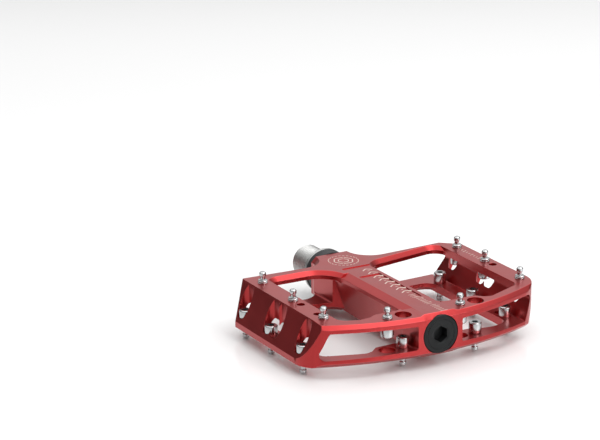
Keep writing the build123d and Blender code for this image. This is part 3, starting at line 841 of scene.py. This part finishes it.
class PEDAL_OT_end_cap(bpy.types.Operator):
    """End cap: black screw cap with a hexagon socket, flush in the outboard end"""
    bl_idname = "pedal.end_cap"
    bl_label = "End cap"

    def execute(self, context):
        values = settings("pedal_cap")
        low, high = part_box("end_cap")
        outer, screw = high.x, high.x - CAP_RIM
        face, seat, inner = high.y, high.y - CAP_HEAD, low.y
        corners = [
            (screw - 0.5 * MM, inner, 0), (screw, inner + 0.5 * MM, 0),
            (screw, seat - 1.0 * MM, 0), (screw - CAP_RELIEF, seat - 1.0 * MM, 0),
            (screw - CAP_RELIEF, seat, 0), (outer, seat, 1), (outer, face, 2.2),
            (outer - 1.6 * MM, face, 0), (outer - 1.75 * MM, face - 0.12 * MM, 0),
            (outer - 1.9 * MM, face, 0), (values.key_width * 0.66, face, 1),
            (values.key_width * 0.615, face - CAP_DISH, 0),
        ]
        mesh = bmesh.new()
        spin(mesh, rounded(corners, values.rim_round * 0.5, steps=4), CAP_STEPS)
        depth = CAP_DISH - values.key_depth
        hex_socket(mesh, face - CAP_DISH, values.key_width, depth, CAP_STEPS)
        close_end(mesh, inner)
        piece = finish_mesh(mesh, "end_cap_turned", sharp=32.0)
        finish = turned_metal("black_anodised", values.black, 0.42, 1500.0, 0.000005,
                              metallic=0.2, ior=1.33)
        dress(piece, finish, "cap_black", PLATFORM, "end_cap")
        return {"FINISHED"}


class PEDAL_OT_seal(bpy.types.Operator):
    """Seal: rubber ring between the axle's flange and the hub, with two wiping lips"""
    bl_idname = "pedal.seal"
    bl_label = "Seal"

    def execute(self, context):
        values = settings("pedal_cap")
        low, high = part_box("inboard_seal")
        outer, bore = high.x, JOURNAL_R + 0.05 * MM
        corners = [
            (bore, low.y, 0), (outer - 0.4 * MM, low.y, 1), (outer, low.y + 0.4 * MM, 1),
            (outer, low.y + 1.5 * MM, 1), (outer - LIP_GROOVE, low.y + 1.9 * MM, 1),
            (outer - LIP_GROOVE, low.y + 2.5 * MM, 1), (outer, low.y + 2.9 * MM, 1),
            (outer, SEAL_HUB - 0.4 * MM, 1), (outer - 0.4 * MM, SEAL_HUB, 1),
            (SEAL_SPIGOT_R, SEAL_HUB, 0), (SEAL_SPIGOT_R, high.y, 0),
            (bore, high.y, 0), (bore, low.y, 0),
        ]
        mesh = bmesh.new()
        spin(mesh, rounded(corners, 0.2 * MM), CAP_STEPS)
        piece = finish_mesh(mesh, "seal_moulded", sharp=35.0)
        finish = moulded_rubber("seal_rubber", values.rubber, 0.46)
        dress(piece, finish, "seal_black", PLATFORM, "inboard_seal")
        return {"FINISHED"}


class PEDAL_OT_inner_parts(bpy.types.Operator):
    """Inner parts: finishes for the bearings, bushing, nut, washer and O-ring"""
    bl_idname = "pedal.inner_parts"
    bl_label = "Inner parts"

    def execute(self, context):
        finishes = {
            "bushing_bronze": turned_metal("bronze_turned", (0.52, 0.38, 0.19), 0.34, 3000.0, 8e-6),
            "zinc_steel": turned_metal("zinc_plated", (0.68, 0.69, 0.71), 0.30, 2200.0, 6e-6),
            "o_ring_rubber": moulded_rubber("o_ring", settings("pedal_cap").rubber, 0.55),
            "bearing_steel": turned_metal("ground_steel", (0.74, 0.75, 0.76), 0.14, 6000.0, 3e-6),
        }
        for name, node in NODES.items():
            for ending, slot_name in HIDDEN_FINISHES.items():
                if name.endswith(ending):
                    for slot in node.material_slots:
                        slot.material = finishes[slot_name]
        return {"FINISHED"}


# --- stage ------------------------------------------------------------------------------------
LIT_POINT = (0, 0.05, 0)                      # the softboxes face the middle of the pedal
KEY_AT, KEY_SIZE = (-0.35, 0.95, 0.42), (0.7, 0.4)
STRIP_AT, STRIP_SIZE = (-0.30, 0.22, 0.75), (0.9, 0.35)
SHEEN_AT, SHEEN_SIZE = (-0.55, -0.90, 0.36), (1.3, 0.5)
SKY_START, SKY_FULL = 0.20, 0.95              # heights between which the sky grows brighter
CAMERA_BACK = (0.4706, 0.8295, 0.3006)
CAMERA_UP = (-0.1506, -0.2602, 0.9537)
SENSOR_WIDTH = 36.0


def soft_light(name, where, power, size_xy):
    light = bpy.data.lights.new(name, "AREA")
    light.shape = "RECTANGLE"
    light.size, light.size_y = size_xy
    light.energy = power
    lamp = bpy.data.objects.new(name, light)
    lamp.location = where
    lamp.rotation_euler = (Vector(where) - Vector(LIT_POINT)).to_track_quat("Z", "Y").to_euler()
    bpy.context.scene.collection.objects.link(lamp)


def studio_world(values):
    """White for the camera; for the object, brighter overhead than at the horizon."""
    world = bpy.data.worlds.new("studio")
    bpy.context.scene.world = world
    world.use_nodes = True
    tree = world.node_tree
    tree.nodes.clear()
    where = add(tree, "ShaderNodeTexCoord")
    parts = add(tree, "ShaderNodeSeparateXYZ")
    rise = add(tree, "ShaderNodeMapRange", clamp=True, interpolation_type="SMOOTHSTEP")
    for slot, value in zip(("From Min", "From Max", "To Min", "To Max"),
                           (SKY_START, SKY_FULL, values.horizon, values.zenith)):
        rise.inputs[slot].default_value = value
    lit = add(tree, "ShaderNodeBackground", Color=(1, 1, 1, 1))
    plain = add(tree, "ShaderNodeBackground", Color=(1, 1, 1, 1), Strength=1.0)
    path = add(tree, "ShaderNodeLightPath")
    choose = add(tree, "ShaderNodeMixShader")
    end = add(tree, "ShaderNodeOutputWorld")
    join = tree.links.new
    join(where.outputs["Generated"], parts.inputs["Vector"])
    join(parts.outputs["Z"], rise.inputs["Value"])
    join(rise.outputs["Result"], lit.inputs["Strength"])
    join(path.outputs["Is Camera Ray"], choose.inputs["Fac"])
    join(lit.outputs["Background"], choose.inputs[1])
    join(plain.outputs["Background"], choose.inputs[2])
    join(choose.outputs["Shader"], end.inputs["Surface"])


def floor_material(white):
    material, tree, shader = new_material("floor_white", 0.0)
    surface = use(tree, grain_group(), Grain_scale=300.0, Patch_scale=3.0)
    tint = blend(tree, "RGBA", shade((white, white, white), 0.995),
                 shade((white, white, white), 1.005), surface.outputs["Patches"])
    tree.links.new(tint, shader.inputs["Base Color"])
    tree.links.new(spread(tree, surface.outputs["Patches"], 0.16, 0.2), shader.inputs["Roughness"])
    return material


def studio_camera(values):
    """A camera whose axes are set square to one another from its back and up directions."""
    camera = bpy.data.cameras.new("camera")
    camera.lens = values.lens
    camera.sensor_width = SENSOR_WIDTH
    camera.clip_start = 0.01
    eye = bpy.data.objects.new("camera", camera)
    back = Vector(CAMERA_BACK).normalized()
    right = Vector(CAMERA_UP).cross(back).normalized()
    up = back.cross(right)
    turn = Matrix((right, up, back)).transposed().to_4x4()
    eye.matrix_world = Matrix.Translation(values.camera_at) @ turn
    bpy.context.scene.collection.objects.link(eye)
    return eye


class PEDAL_OT_stage(bpy.types.Operator):
    """Stage: pale floor, soft studio light and the camera"""
    bl_idname = "pedal.stage"
    bl_label = "Stage"

    def execute(self, context):
        values = settings("pedal_studio")
        scene = context.scene
        mesh = bmesh.new()
        bmesh.ops.create_grid(mesh, x_segments=4, y_segments=4, size=values.floor_size / 2)
        place(mesh, Matrix.Translation((0, 0, CAD_BOX[0].z)))
        floor = link_mesh(mesh, "floor")
        floor.data.materials.append(floor_material(values.floor_white))
        studio_world(values)
        soft_light("key", KEY_AT, values.key_power, KEY_SIZE)
        soft_light("strip", STRIP_AT, values.rim_power, STRIP_SIZE)
        soft_light("sheen", SHEEN_AT, values.sheen_power, SHEEN_SIZE)
        scene.view_settings.view_transform = "Standard"
        scene.camera = studio_camera(values)
        return {"FINISHED"}


# --- panel and registration -------------------------------------------------------------------
STEPS = (
    PEDAL_OT_platform,
    PEDAL_OT_marks,
    PEDAL_OT_axle,
    PEDAL_OT_grip_pins,
    PEDAL_OT_end_cap,
    PEDAL_OT_seal,
    PEDAL_OT_inner_parts,
    PEDAL_OT_stage,
)
GROUPS = {
    "pedal_platform": PlatformSettings,
    "pedal_steel": SteelSettings,
    "pedal_cap": CapSettings,
    "pedal_studio": StudioSettings,
}


class PEDAL_PT_panel(bpy.types.Panel):
    """Sidebar list of the pedal's pieces"""
    bl_idname = "PEDAL_PT_panel"
    bl_label = "Flat pedal"
    bl_space_type = "VIEW_3D"
    bl_region_type = "UI"
    bl_category = "Pedal"

    def draw(self, context):
        column = self.layout.column(align=True)
        for step in STEPS:
            column.operator(step.bl_idname)


def register():
    for name, group in GROUPS.items():
        bpy.utils.register_class(group)
        setattr(bpy.types.Scene, name, PointerProperty(type=group))
    for step in (*STEPS, PEDAL_PT_panel):
        bpy.utils.register_class(step)


def unregister():
    for step in (*STEPS, PEDAL_PT_panel):
        bpy.utils.unregister_class(step)
    for name, group in GROUPS.items():
        delattr(bpy.types.Scene, name)
        bpy.utils.unregister_class(group)


def run(step):
    module, name = step.bl_idname.split(".")
    getattr(getattr(bpy.ops, module), name)()


def main():
    register()
    for step in STEPS:
        run(step)
    bpy.context.view_layer.update()


if __name__ == "__main__":
    main()
